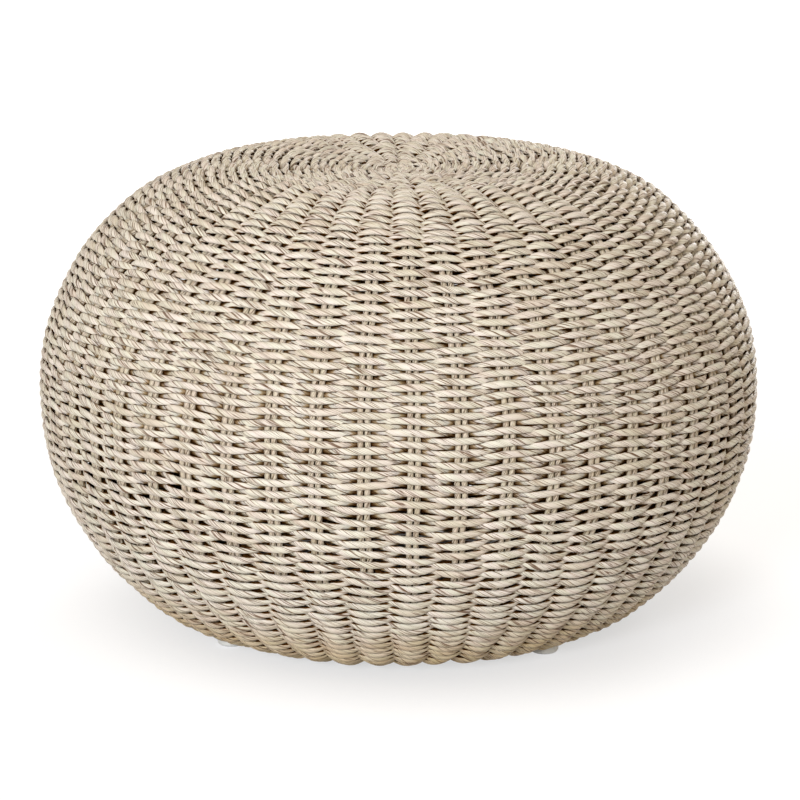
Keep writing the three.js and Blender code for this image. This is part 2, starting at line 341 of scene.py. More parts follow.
beads = add(welds, "GeometryNodeInstanceOnPoints", {
    "Points": points, "Instance": bead, "Rotation": heading,
})[0]
finish(welds, turned_copies(welds, given, beads), given["Coat"])

bar_drop = bar_height - ring_centres[0].z
bar_ends = [(Vector((ring_centres[0].x, 0, bar_height)), Vector((-1, 0, 0)))]
crossing = [(Vector((0, 0, bar_height)), Vector((0, 1, 0)))]
for name, ends, tube_radius, ring_radius, offset, copies, first_angle in (
    ("rib_welds", rib_ends, RIB_TUBE, RING_TUBE, 0.0, RIB_COUNT, FIRST_RIB),
    ("seat_bar_welds", bar_ends, BAR_TUBE, RING_TUBE, bar_drop, 4, 0.0),
    ("crossing_welds", crossing, BAR_TUBE, BAR_TUBE, 0.0, 2, 0.0),
):
    joints = bpy.data.meshes.new("joints")
    joints.from_pydata([centre for centre, way in ends], [], [])
    turns = joints.attributes.new("heading", "FLOAT_VECTOR", "POINT")
    for joint, (centre, way) in enumerate(ends):
        side = Vector((0, 1, 0)) if abs(way.y) < 0.5 else Vector((1, 0, 0))
        turns.data[joint].vector = Matrix((side, way.cross(side), way)).transposed().to_euler()
    joints_object = new_object("joints", joints)
    make(name, welds, {
        "Places": joints_object, "Tube radius": tube_radius, "Ring radius": ring_radius,
        "Offset": offset, "Bead radius": WELD_BEAD, "Ripples": WELD_RIPPLES, "Copies": copies,
        "First angle": first_angle, "Coat": coat,
    }, "frame_tube")
    bpy.data.objects.remove(joints_object)

# Bosses
# A short spacer turned from the same aluminium stands between the base ring and each glide. It is
# welded on and coated with the frame.
for index in range(1, FOOT_COUNT + 1):
    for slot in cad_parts[f"foot_boss_{index}"].material_slots:
        slot.material = coat

# Feet
# A milky polyethylene glide under each corner of the base ring. Its head is moulded round, and a
# countersunk steel screw holds it up into the welded boss.
MOULD_GRAIN = 0.0008
MILK_CLOUDS_PER_METRE = 140
SCRATCHES_PER_METRE = 900

# Natural polyethylene: waxy and cloudy, so light soaks a few millimetres into it. The grain of
# its mould is drawn coarser than it is, to show at all.
polyethylene, tree = material_tree("natural_polyethylene")
place = add(tree, "ShaderNodeTexCoord", {})["Object"]
cloud = add(tree, "ShaderNodeTexNoise", {
    "Vector": place, "Scale": MILK_CLOUDS_PER_METRE, "Detail": 3.0,
})
milk = add(tree, "ShaderNodeValToRGB", {"Fac": cloud["Fac"]})
ramp = milk[0].node.color_ramp.elements
ramp[0].position, ramp[0].color = 0.3, linear("#d9dcdd")
ramp[1].position, ramp[1].color = 0.7, linear("#e6e8e8")
skin = add(tree, "ShaderNodeTexNoise", {"Vector": place, "Scale": 1 / MOULD_GRAIN, "Detail": 2.0})
moulded = add(tree, "ShaderNodeBump", {"Height": skin["Fac"], "Strength": 0.2, "Distance": 0.0002})
shader = add(tree, "ShaderNodeBsdfPrincipled", {
    "Base Color": milk["Color"], "Roughness": 0.38, "IOR": 1.51,
    "Subsurface Weight": 0.4, "Subsurface Radius": (0.004, 0.004, 0.004), "Subsurface Scale": 1.0,
    "Normal": moulded["Normal"],
})
add(tree, "ShaderNodeOutputMaterial", {"Surface": shader[0]})

# Turned stainless steel: scratched and a little dulled. Its scratches are drawn coarser than they
# are, too.
steel, tree = material_tree("turned_stainless_steel")
place = add(tree, "ShaderNodeTexCoord", {})["Object"]
scratch = add(tree, "ShaderNodeTexNoise", {
    "Vector": place, "Scale": SCRATCHES_PER_METRE, "Detail": 4.0,
})
dull = add(tree, "ShaderNodeMapRange", {"Value": scratch["Fac"], "To Min": 0.28, "To Max": 0.46})
shader = add(tree, "ShaderNodeBsdfPrincipled", {
    "Base Color": linear("#c3c4c2"), "Metallic": 1.0, "Roughness": dull["Result"],
})
add(tree, "ShaderNodeOutputMaterial", {"Surface": shader[0]})

for index in range(1, FOOT_COUNT + 1):
    for name, material in ((f"glide_{index}", polyethylene), (f"glide_screw_{index}", steel)):
        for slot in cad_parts[name].material_slots:
            slot.material = material

# Line that the weave follows
# The middle of the woven skin in section, from the centre of the seat down the outside, then
# under the base ring and up inside it. Every cord is laid along it or round it.
WEAVE_MIDDLE = 0.0060
BORDER_TURN = math.pi * 0.62

meridian_points = [
    inside(*outline_point(span, step / SPAN_STEPS), WEAVE_MIDDLE)
    for span in range(len(CORNERS) - 1) for step in range(SPAN_STEPS)
]
rim_point, rim_heading = outline_point(len(CORNERS) - 2, 1)
base_ring_centre = inside(rim_point, rim_heading, RING_DEPTH)
border_radius = RING_DEPTH - WEAVE_MIDDLE
border_start = math.atan2(rim_point.z - base_ring_centre.z, rim_point.x - base_ring_centre.x)
for step in range(SPAN_STEPS + 1):
    angle = border_start - BORDER_TURN * step / SPAN_STEPS
    outwards = Vector((math.cos(angle), 0, math.sin(angle)))
    meridian_points.append(base_ring_centre + outwards * border_radius)
meridian_points[0].x = 0
meridian_length = sum((b - a).length for a, b in zip(meridian_points, meridian_points[1:]))
skin_length = meridian_length - border_radius * BORDER_TURN

meridian = path("meridian", [meridian_points])

# Unevenness of handwork
# Every cord strays a little from its place, and its neighbours stray with it. The tree gives the
# place on the line at an angle and a length, with that stray in it, and the ways down and out.
STRAY_SIZE = 0.06
STRAY_ALONG = 0.0045
STRAY_OUT = 0.0012
NARROWEST_SWAY = 0.035

hand, given = new_tree("laid_by_hand", {
    "Geometry": ["Line"], "Float": ["Angle", "Length"],
}, {"Float": ["Angle"], "Vector": ["Point", "Down", "Out"]})
plain = add(hand, "GeometryNodeSampleCurve", {
    "Curves": given["Line"], "Length": given["Length"],
}, mode="LENGTH", use_all_curves=True)["Position"]
turned = add(hand, "ShaderNodeVectorRotate", {
    "Vector": plain, "Angle": given["Angle"],
}, rotation_type="Z_AXIS")[0]
noise = add(hand, "ShaderNodeTexNoise", {
    "Vector": turned, "Scale": 1 / STRAY_SIZE, "Detail": 1.0,
})["Color"]
stray = add(hand, "ShaderNodeVectorMath", {
    0: noise, 1: (0.5, 0.5, 0.5),
}, operation="SUBTRACT")[0]
stray = add(hand, "ShaderNodeSeparateXYZ", {"Vector": stray})
reach = add(hand, "ShaderNodeSeparateXYZ", {"Vector": plain})["X"]
reach = add(hand, "ShaderNodeMath", {0: reach, 1: NARROWEST_SWAY}, operation="MAXIMUM")[0]
sway = add(hand, "ShaderNodeMath", {0: stray["X"], 1: reach}, operation="DIVIDE")[0]
angle, length = (
    add(hand, "ShaderNodeMath", {
        0: shift, 1: 2 * STRAY_ALONG, 2: start,
    }, operation="MULTIPLY_ADD")[0]
    for shift, start in ((sway, given["Angle"]), (stray["Y"], given["Length"]))
)
laid = add(hand, "GeometryNodeSampleCurve", {
    "Curves": given["Line"], "Length": length,
}, mode="LENGTH", use_all_curves=True)
down = add(hand, "ShaderNodeSeparateXYZ", {"Vector": laid["Tangent"]})
back = add(hand, "ShaderNodeMath", {0: down["Z"], 1: -1.0}, operation="MULTIPLY")[0]
out = add(hand, "ShaderNodeCombineXYZ", {"X": back, "Z": down["X"]})[0]
puff = add(hand, "ShaderNodeMath", {0: stray["Z"], 1: 2 * STRAY_OUT}, operation="MULTIPLY")[0]
puff = add(hand, "ShaderNodeVectorMath", {0: out, "Scale": puff}, operation="SCALE")[0]
point = add(hand, "ShaderNodeVectorMath", {0: laid["Position"], 1: puff})[0]
add(hand, "NodeGroupOutput", {"Angle": angle, "Point": point, "Down": laid["Tangent"], "Out": out})

# Room for the feet
# The cords of the border part round each boss and stay above its glide. The tree folds the plan
# onto one foot, opens the weave there, and folds it back.
FOOT_PLACE = base_ring_centre.x * math.cos(math.pi / FOOT_COUNT)
BOSS_ROOM = 0.0076
PARTED_ROOM = 0.022
GLIDE_ROOM = 0.0128
GLIDE_TOP = 0.0084

room, given = new_tree("room_for_the_feet", {"Vector": ["Point"]}, {"Vector": ["Point"]})
sides, folded = (
    add(room, "ShaderNodeVectorMath", {0: given["Point"]}, operation=operation)[0]
    for operation in ("SIGN", "ABSOLUTE")
)
flat = add(room, "ShaderNodeVectorMath", {
    0: folded, 1: (FOOT_PLACE, FOOT_PLACE, 0),
}, operation="SUBTRACT")[0]
flat = add(room, "ShaderNodeVectorMath", {0: flat, 1: (1, 1, 0)}, operation="MULTIPLY")[0]
distance = add(room, "ShaderNodeVectorMath", {0: flat}, operation="LENGTH")["Value"]
parted = add(room, "ShaderNodeMapRange", {
    "Value": distance, "From Max": PARTED_ROOM, "To Min": BOSS_ROOM, "To Max": PARTED_ROOM,
})["Result"]
wider = add(room, "ShaderNodeMath", {0: parted, 1: distance}, operation="MAXIMUM")[0]
growth = add(room, "ShaderNodeMath", {0: wider, 1: distance}, operation="DIVIDE")[0]
height = add(room, "ShaderNodeSeparateXYZ", {"Vector": given["Point"]})["Z"]
is_low = add(room, "ShaderNodeMath", {0: height, 1: base_ring_centre.z}, operation="LESS_THAN")[0]
growth = add(room, "ShaderNodeMix", {"Factor": is_low, "A": 1.0, "B": growth})["Result"]
opened = add(room, "ShaderNodeVectorMath", {0: flat, "Scale": growth}, operation="SCALE")[0]
opened = add(room, "ShaderNodeVectorMath", {0: opened, 1: (FOOT_PLACE, FOOT_PLACE, 0)})[0]
unfolded = add(room, "ShaderNodeVectorMath", {0: opened, 1: sides}, operation="MULTIPLY")[0]
lowest = add(room, "ShaderNodeMath", {0: wider, 1: GLIDE_ROOM}, operation="LESS_THAN")[0]
lowest = add(room, "ShaderNodeMath", {0: lowest, 1: GLIDE_TOP}, operation="MULTIPLY")[0]
height = add(room, "ShaderNodeMath", {0: height, 1: lowest}, operation="MAXIMUM")[0]
plan = add(room, "ShaderNodeSeparateXYZ", {"Vector": unfolded})
clear = add(room, "ShaderNodeCombineXYZ", {"X": plan["X"], "Y": plan["Y"], "Z": height})[0]
add(room, "NodeGroupOutput", {"Point": clear})

# Cord
# Both the stakes and the weaver are twisted from a flat extrusion of resin that is coloured like
# bleached reed. The twist leaves slanting ridges, with brown in the folds between them. Folds and
# fibres are finer than shows, so they are drawn coarser than they are.
LAY_LENGTH = 0.031
RIDGES_ROUND = 14
FOLDS_ROUND = 7
FIBRES_ROUND = 40
STREAK_STRETCH = 14.0
BATCHES_PER_METRE = 11.0
HUE_SCALE = 0.6
FOLD_EDGE = 0.008
FOLD_END = 0.026
# From the inner face to the outer face, the resin goes from painted shade to its full colour.
OUTER_FACE = 0.0008
INNER_FACE = -0.0018
LOW_TINT_HEIGHT = 0.080
LOW_TINT_PATCHES_PER_METRE = 30.0
LOW_TINT_PATCH_HEIGHT = 0.06


def resin_cord(name, pale, mid, fold):
    """Streaked polyethylene wicker. The streaks follow the twist on the cord's own UV map. Deep in
    the weave and in the crevices between rounds the colour is painted darker and browner as painted
    shade, and towards the floor it turns a browner tan, in patches."""
    material, tree = material_tree(name)
    lay = add(tree, "ShaderNodeUVMap", {}, uv_map="lay")["UV"]
    lay = add(tree, "ShaderNodeSeparateXYZ", {"Vector": lay})
    turns = add(tree, "ShaderNodeMath", {
        0: lay["X"], 1: 1 / LAY_LENGTH, 2: lay["Y"],
    }, operation="MULTIPLY_ADD")[0]
    angle = add(tree, "ShaderNodeMath", {0: turns, 1: 2 * math.pi}, operation="MULTIPLY")[0]
    east, north = (
        add(tree, "ShaderNodeMath", {0: angle}, operation=part)[0] for part in ("COSINE", "SINE")
    )
    along = add(tree, "ShaderNodeMath", {0: lay["X"], 1: STREAK_STRETCH}, operation="MULTIPLY")[0]
    twisted = add(tree, "ShaderNodeCombineXYZ", {"X": east, "Y": north, "Z": along})[0]
    ridges, fibres, folds = (
        add(tree, "ShaderNodeTexNoise", {
            "Vector": twisted, "Scale": number_round / 2 / math.pi, "Detail": detail,
            "Roughness": roughness,
        })["Fac"]
        for number_round, detail, roughness in (
            (RIDGES_ROUND, 2.0, 0.55), (FIBRES_ROUND, 3.0, 0.7), (FOLDS_ROUND, 1.0, 0.5),
        )
    )
    streaks = add(tree, "ShaderNodeValToRGB", {"Fac": ridges})
    ramp = streaks[0].node.color_ramp.elements
    ramp[0].position, ramp[0].color = 0.34, linear(fold)
    ramp[1].position, ramp[1].color = 0.45, linear(pale)
    ramp.new(0.395).color = linear(mid)
    batch = add(tree, "ShaderNodeTexNoise", {
        "W": lay["X"], "Scale": BATCHES_PER_METRE, "Detail": 2.0,
    }, noise_dimensions="1D")["Fac"]
    batch = add(tree, "ShaderNodeMapRange", {
        "Value": batch, "From Min": 0.45, "From Max": 0.75, "To Max": 0.75,
    })["Result"]
    toned = add(tree, "ShaderNodeMix", {
        0: batch, 6: streaks["Color"], 7: linear(mid),
    }, data_type="RGBA")[2]
    hue = add(tree, "ShaderNodeTexNoise", {
        "Vector": twisted, "Scale": HUE_SCALE, "Detail": 1.0,
    })["Fac"]
    hue = add(tree, "ShaderNodeMapRange", {
        "Value": hue, "From Min": 0.35, "From Max": 0.65,
    })["Result"]
    hue = add(tree, "ShaderNodeMix", {
        0: hue, 6: linear("#fff9f8"), 7: linear("#fbfcf4"),
    }, data_type="RGBA")[2]
    toned = add(tree, "ShaderNodeVectorMath", {0: toned, 1: hue}, operation="MULTIPLY")[0]
    fibre_tone = add(tree, "ShaderNodeMapRange", {
        "Value": fibres, "From Min": 0.32, "From Max": 0.68, "To Min": 0.81, "To Max": 1.10,
    })["Result"]
    toned = add(tree, "ShaderNodeVectorMath", {0: toned, "Scale": fibre_tone}, operation="SCALE")[0]
    for operation in ("SUBTRACT", "ABSOLUTE"):
        folds = add(tree, "ShaderNodeMath", {0: folds, 1: 0.5}, operation=operation)[0]
    folds = add(tree, "ShaderNodeMapRange", {
        "Value": folds, "From Min": FOLD_EDGE, "From Max": FOLD_END, "To Min": 0.92, "To Max": 0.0,
    })["Result"]
    toned = add(tree, "ShaderNodeMix", {0: folds, 6: toned, 7: linear(fold)}, data_type="RGBA")[2]
    # Painted shade: how far out a point stands in the weave darkens and browns its colour, most
    # deep inside the weave and in the crevices between rounds.
    outwards = add(tree, "ShaderNodeAttribute", {}, attribute_name="outwards")["Fac"]
    out_of_painted_shade = add(tree, "ShaderNodeMapRange", {
        "Value": outwards, "From Min": INNER_FACE, "From Max": OUTER_FACE,
    }, interpolation_type="SMOOTHSTEP")["Result"]
    painted_shade = add(tree, "ShaderNodeValToRGB", {"Fac": out_of_painted_shade})
    ramp = painted_shade[0].node.color_ramp.elements
    ramp[0].color, ramp[1].color = linear("#5e3e1e"), (1, 1, 1, 1)
    ramp.new(0.55).color = linear("#cdb48e")
    toned = add(tree, "ShaderNodeVectorMath", {
        0: toned, 1: painted_shade["Color"],
    }, operation="MULTIPLY")[0]
    # Towards the floor the colour is multiplied by a browner tan, in patches.
    place = add(tree, "ShaderNodeTexCoord", {})["Object"]
    height = add(tree, "ShaderNodeSeparateXYZ", {"Vector": place})["Z"]
    patches = add(tree, "ShaderNodeTexNoise", {
        "Vector": place, "Scale": LOW_TINT_PATCHES_PER_METRE, "Detail": 2.0,
    })["Fac"]
    patches = add(tree, "ShaderNodeMath", {
        0: patches, 1: LOW_TINT_PATCH_HEIGHT, 2: height,
    }, operation="MULTIPLY_ADD")[0]
    low_tinted = add(tree, "ShaderNodeMapRange", {
        "Value": patches, "From Min": LOW_TINT_PATCH_HEIGHT / 2,
        "From Max": LOW_TINT_HEIGHT + LOW_TINT_PATCH_HEIGHT / 2, "To Min": 1.0, "To Max": 0.0,
    }, interpolation_type="SMOOTHSTEP")["Result"]
    low_tint = add(tree, "ShaderNodeMix", {
        0: low_tinted, 6: (1, 1, 1, 1), 7: linear("#dfcca8"),
    }, data_type="RGBA")[2]
    colour = add(tree, "ShaderNodeVectorMath", {0: toned, 1: low_tint}, operation="MULTIPLY")[0]
    # The reflection is taken down with the painted shade, which darkens these places further.
    painted_shade_specular = add(tree, "ShaderNodeMath", {0: out_of_painted_shade, 1: 0.5}, operation="MULTIPLY")[0]
    grooves = add(tree, "ShaderNodeBump", {
        "Height": ridges, "Strength": 0.7, "Distance": 0.0012,
    })["Normal"]
    grain = add(tree, "ShaderNodeBump", {
        "Height": fibres, "Strength": 0.5, "Distance": 0.0005, "Normal": grooves,
    })["Normal"]
    shader = add(tree, "ShaderNodeBsdfPrincipled", {
        "Base Color": colour, "Roughness": 0.55, "IOR": 1.5, "Specular IOR Level": painted_shade_specular,
        "Normal": grain,
    })
    add(tree, "ShaderNodeOutputMaterial", {"Surface": shader[0]})
    return material


weaver_resin = resin_cord("reed_coloured_resin_weaver", "#ebe9e4", "#dad1c3", "#65462a")
stake_resin = resin_cord("reed_coloured_resin_stake", "#e6ddce", "#cdbfa9", "#604427")

# Stakes
# Upright cords in pairs, side by side, that fan out from the middle of the seat, run down over
# the frame and turn in under the base ring. More pairs are pushed in as the seat widens.
STAKE_WIDTH = 0.0050
STAKE_DEPTH = 0.0046
STAKE_OFFSET = 0.0028
STAKE_SIDES = 6
STAKE_STEP = 0.009
FIRST_STAKE = math.radians(0.9)
CROWDED_RADIUS = 0.1
FREE_RADIUS = 0.24
CROWDED_SHARE = 0.68
NEXT_CORD = 1.37
SAME_POINT = 0.000001


def half_of_ring(tree, ring, steps):
    """Half of a cord's size at a ring of its points, and nothing at the caps on its two ends."""
    is_start = add(tree, "ShaderNodeMath", {0: ring, 1: 0.5}, operation="LESS_THAN")[0]
    before_end = add(tree, "ShaderNodeMath", {0: steps, 1: 1.5})[0]
    is_end = add(tree, "ShaderNodeMath", {0: ring, 1: before_end}, operation="GREATER_THAN")[0]
    is_cap = add(tree, "ShaderNodeMath", {0: is_start, 1: is_end})[0]
    return add(tree, "ShaderNodeMath", {0: is_cap, 1: -0.5, 2: 0.5}, operation="MULTIPLY_ADD")[0]


def close_cord(tree, grid, lay, outwards, point, placed, resin):
    """Turns a cord's points to their place and closes it, with the way of its twist, and how far
    out it stands, which the resin uses to paint shade deep in the weave."""
    point = add(tree, "ShaderNodeVectorRotate", {
        "Vector": point, "Angle": placed["Angle"],
    }, rotation_type="Z_AXIS")[0]
    point = add(tree, "GeometryNodeGroup", {"Point": point}, node_tree=room)["Point"]
    lay = add(tree, "ShaderNodeCombineXYZ", lay)[0]
    lay = add(tree, "GeometryNodeFieldOnDomain", {
        0: lay,
    }, data_type="FLOAT_VECTOR", domain="POINT")[0]
    marked = add(tree, "GeometryNodeStoreNamedAttribute", {
        "Geometry": grid, "Name": "lay", "Value": lay,
    }, data_type="FLOAT2", domain="CORNER")[0]
    marked = add(tree, "GeometryNodeStoreNamedAttribute", {
        "Geometry": marked, "Name": "outwards", "Value": outwards,
    }, data_type="FLOAT", domain="POINT")[0]
    shaped = add(tree, "GeometryNodeSetPosition", {"Geometry": marked, "Position": point})[0]
    closed = add(tree, "GeometryNodeMergeByDistance", {
        "Geometry": shaped, "Distance": SAME_POINT,
    })[0]
    finish(tree, closed, resin)


stakes, given = new_tree("paired_stakes", {
    "Object": ["Line"], "Int": ["Pairs", "Steps", "Sides"], "Material": ["Resin"],
    "Float": ["First length", "Last length", "Width", "Depth", "Offset", "First angle"],
}, {"Geometry": ["Geometry"]})
line = add(stakes, "GeometryNodeObjectInfo", {"Object": given["Line"]})["Geometry"]
rings = add(stakes, "FunctionNodeIntegerMath", {0: given["Steps"], 1: 3}, operation="ADD")[0]
around = add(stakes, "FunctionNodeIntegerMath", {0: given["Sides"], 1: 1}, operation="ADD")[0]
one_cord = add(stakes, "GeometryNodeMeshGrid", {"Vertices X": rings, "Vertices Y": around})["Mesh"]
cords = add(stakes, "FunctionNodeIntegerMath", {0: given["Pairs"], 1: 2}, operation="MULTIPLY")[0]
places = add(stakes, "GeometryNodeMeshLine", {"Count": cords})["Mesh"]
copies = add(stakes, "GeometryNodeInstanceOnPoints", {"Points": places, "Instance": one_cord})[0]
all_cords = add(stakes, "GeometryNodeRealizeInstances", {"Geometry": copies})[0]
index = add(stakes, "GeometryNodeInputIndex", {})[0]
per_cord = add(stakes, "FunctionNodeIntegerMath", {0: rings, 1: around}, operation="MULTIPLY")[0]
whole_and_rest = ("DIVIDE_FLOOR", "MODULO")
cord, within = (
    add(stakes, "FunctionNodeIntegerMath", {0: index, 1: per_cord}, operation=part)[0]
    for part in whole_and_rest
)
ring, side = (
    add(stakes, "FunctionNodeIntegerMath", {0: within, 1: around}, operation=part)[0]
    for part in whole_and_rest
)
pair, twin = (
    add(stakes, "FunctionNodeIntegerMath", {0: cord, 1: 2}, operation=part)[0]
    for part in whole_and_rest
)
last_ring = add(stakes, "ShaderNodeMath", {0: given["Steps"], 1: 1.0})[0]
length = add(stakes, "ShaderNodeMapRange", {
    "Value": ring, "From Min": 1.0, "From Max": last_ring,
    "To Min": given["First length"], "To Max": given["Last length"],
})["Result"]
angle = add(stakes, "ShaderNodeMath", {0: pair, 1: given["Pairs"]}, operation="DIVIDE")[0]
angle = add(stakes, "ShaderNodeMath", {
    0: angle, 1: 2 * math.pi, 2: given["First angle"],
}, operation="MULTIPLY_ADD")[0]
placed = add(stakes, "GeometryNodeGroup", {
    "Line": line, "Angle": angle, "Length": length,
}, node_tree=hand)
half = half_of_ring(stakes, ring, given["Steps"])
round_share = add(stakes, "ShaderNodeMath", {0: side, 1: given["Sides"]}, operation="DIVIDE")[0]
round_angle = add(stakes, "ShaderNodeMath", {
    0: round_share, 1: -2 * math.pi, 2: -math.pi / 2,
}, operation="MULTIPLY_ADD")[0]
radius = add(stakes, "ShaderNodeSeparateXYZ", {"Vector": placed["Point"]})["X"]
crowding = add(stakes, "ShaderNodeMapRange", {
    "Value": radius, "From Min": CROWDED_RADIUS, "From Max": FREE_RADIUS, "To Min": CROWDED_SHARE,
})["Result"]
wide, deep = (
    add(stakes, "ShaderNodeMath", {0: round_angle}, operation=part)[0]
    for part in ("COSINE", "SINE")
)
for factor in (given["Width"], half):
    wide = add(stakes, "ShaderNodeMath", {0: wide, 1: factor}, operation="MULTIPLY")[0]
offset = add(stakes, "ShaderNodeMath", {0: twin, 1: 2.0, 2: -1.0}, operation="MULTIPLY_ADD")[0]
offset = add(stakes, "ShaderNodeMath", {0: offset, 1: given["Offset"]}, operation="MULTIPLY")[0]
sideways = add(stakes, "ShaderNodeMath", {0: wide, 1: offset})[0]
sideways = add(stakes, "ShaderNodeMath", {0: sideways, 1: crowding}, operation="MULTIPLY")[0]
sideways = add(stakes, "ShaderNodeCombineXYZ", {"Y": sideways})[0]
for factor in (given["Depth"], half):
    deep = add(stakes, "ShaderNodeMath", {0: deep, 1: factor}, operation="MULTIPLY")[0]
outwards = add(stakes, "ShaderNodeVectorMath", {
    0: placed["Out"], "Scale": deep,
}, operation="SCALE")[0]
point = placed["Point"]
for shift in (sideways, outwards):
    point = add(stakes, "ShaderNodeVectorMath", {0: point, 1: shift})[0]
own_lay = add(stakes, "ShaderNodeMath", {
    0: cord, 1: NEXT_CORD, 2: length,
}, operation="MULTIPLY_ADD")[0]
# Painted shade: the stake's own depth goes to the resin, so its flanks and back are painted darker,
# as the shade between the twin stakes.
close_cord(stakes, all_cords, {"X": own_lay, "Y": round_share}, deep, point, placed, given["Resin"])

CENTRE_PAIRS = 13
INNER_PAIRS = 25
BODY_PAIRS = 51
INNER_START = 0.040
BODY_START = 0.112
POLE_GAP = 0.006
TUCK = 0.010
for name, first, last, pairs, depth, nodes in (
    ("centre_stakes", POLE_GAP, INNER_START + TUCK, CENTRE_PAIRS, 0.0022, ["woven_seat"]),
    ("inner_stakes", INNER_START - TUCK, BODY_START + TUCK, INNER_PAIRS, 0.0028, ["woven_seat"]),
    ("body_stakes", BODY_START - TUCK, meridian_length, BODY_PAIRS, STAKE_DEPTH,
     ["woven_seat", "woven_shoulder", "woven_waist", "woven_base", "woven_border"]),
):
    make(name, stakes, {
        "Line": meridian, "First length": first, "Last length": last, "Pairs": pairs,
        "Steps": round((last - first) / STAKE_STEP), "Sides": STAKE_SIDES, "Width": STAKE_WIDTH,
        "Depth": depth, "Offset": STAKE_OFFSET, "First angle": FIRST_STAKE, "Resin": stake_resin,
    }, "woven_resin", *nodes)

# Weaver
# One long cord, wound round and round from the middle of the seat to the border, over one pair
# of stakes and under the next. As the pairs are odd in number, each round crosses the last one.
# It swells over each pair and is squeezed thin where it passes between two rounds.
ROW_SPACING = [
    (0, 0.0044), (0.12, 0.0044), (0.235, 0.0046), (0.27, 0.0044), (0.305, 0.0040), (0.365, 0.0043),
    (0.425, 0.0047), (0.495, 0.0045), (0.6, 0.0043), (1, 0.0043),
]
FLOAT_DEPTH = 0.0039
HIDDEN_EXTRA = 0.0024
SQUEEZED_DEPTH = 0.0043
WANDER = 0.0013
JITTERS_PER_PAIR = 0.31
WANDERS_PER_PAIR = 0.45
THICKNESSES_PER_PAIR = 0.7
THINNEST_SHARE = 0.9
THICKEST_SHARE = 1.12
SWELL_SHARPNESS = 1.3
WEAVER_SIDES = 8
STEPS_PER_PAIR = 8
ROW_MARKS = 40


def spacing_at(length):
    """The space from one round to the next, at a length down the line."""
    for (start, near), (end, far) in zip(ROW_SPACING, ROW_SPACING[1:]):
        if length <= end:
            return near + (far - near) * (length - start) / (end - start)


row_count = 0
rows_at = [(0, 0)]
for mark in range(1, ROW_MARKS + 1):
    middle = (mark - 0.5) / ROW_MARKS * meridian_length
    row_count += meridian_length / ROW_MARKS / spacing_at(middle)
    rows_at.append((row_count, mark / ROW_MARKS * meridian_length))


def row_at(length):
    """The nearest whole round at a length down the line."""
    for (row, start), (next_row, end) in zip(rows_at, rows_at[1:]):
        if length <= end:
            return round(row + (next_row - row) * (length - start) / (end - start))


weaver, given = new_tree("weaver", {
    "Object": ["Line"], "Int": ["Pairs", "Steps per pair", "Sides"], "Material": ["Resin"],
    "Float": [
        "First row", "Last row", "First lift", "Last lift", "First dip", "Last dip",
        "First float height", "Last float height", "First squeezed height", "Last squeezed height",
        "Float depth", "Squeezed depth", "Hidden extra", "Crevice", "Wander", "Jitter",
        "First angle",
    ],
}, {"Geometry": ["Geometry"]})
line = add(weaver, "GeometryNodeObjectInfo", {"Object": given["Line"]})["Geometry"]
per_row = add(weaver, "ShaderNodeMath", {
    0: given["Pairs"], 1: given["Steps per pair"],
}, operation="MULTIPLY")[0]
steps = add(weaver, "ShaderNodeMath", {
    0: given["Last row"], 1: given["First row"],
}, operation="SUBTRACT")[0]
steps = add(weaver, "ShaderNodeMath", {0: steps, 1: per_row}, operation="MULTIPLY")[0]
rings = add(weaver, "ShaderNodeMath", {0: steps, 1: 3.0}, operation="ADD")[0]
around = add(weaver, "FunctionNodeIntegerMath", {0: given["Sides"], 1: 1}, operation="ADD")[0]
tube = add(weaver, "GeometryNodeMeshGrid", {"Vertices X": rings, "Vertices Y": around})["Mesh"]
index = add(weaver, "GeometryNodeInputIndex", {})[0]
ring, side = (
    add(weaver, "FunctionNodeIntegerMath", {0: index, 1: around}, operation=part)[0]
    for part in whole_and_rest
)
row = ring
for operation, other in (
    ("SUBTRACT", 1.0), ("MAXIMUM", 0.0), ("MINIMUM", steps), ("DIVIDE", per_row),
    ("ADD", given["First row"]),
):
    row = add(weaver, "ShaderNodeMath", {0: row, 1: other}, operation=operation)[0]
angle = add(weaver, "ShaderNodeMath", {
    0: row, 1: 2 * math.pi, 2: given["First angle"],
}, operation="MULTIPLY_ADD")[0]
pair_count = add(weaver, "ShaderNodeMath", {0: row, 1: given["Pairs"]}, operation="MULTIPLY")[0]
jitter, wander, thickness = (
    add(weaver, "ShaderNodeTexNoise", {
        "W": pair_count, "Scale": per_pair, "Detail": detail,
    }, noise_dimensions="1D")["Fac"]
    for per_pair, detail in (
        (JITTERS_PER_PAIR, 1.0), (WANDERS_PER_PAIR, 1.0), (THICKNESSES_PER_PAIR, 2.0),
    )
)
jitter, wander = (
    add(weaver, "ShaderNodeMapRange", {"Value": share, "To Min": -1.0})["Result"]
    for share in (jitter, wander)
)
jitter = add(weaver, "ShaderNodeMath", {0: jitter, 1: given["Jitter"]}, operation="MULTIPLY")[0]
phase = add(weaver, "ShaderNodeMath", {
    0: pair_count, 1: math.pi, 2: jitter,
}, operation="MULTIPLY_ADD")[0]
row_share = add(weaver, "ShaderNodeMath", {0: row, 1: row_count}, operation="DIVIDE")[0]
winding = add(weaver, "ShaderNodeFloatCurve", {"Value": row_share})[0]
for row_number, length in rows_at[1:-1]:
    winding.node.mapping.curves[0].points.new(row_number / row_count, length / meridian_length)
winding.node.mapping.update()
length = add(weaver, "ShaderNodeMath", {0: winding, 1: meridian_length}, operation="MULTIPLY")[0]
length = add(weaver, "ShaderNodeMath", {
    0: wander, 1: given["Wander"], 2: length,
}, operation="MULTIPLY_ADD")[0]
placed = add(weaver, "GeometryNodeGroup", {
    "Line": line, "Angle": angle, "Length": length,
}, node_tree=hand)
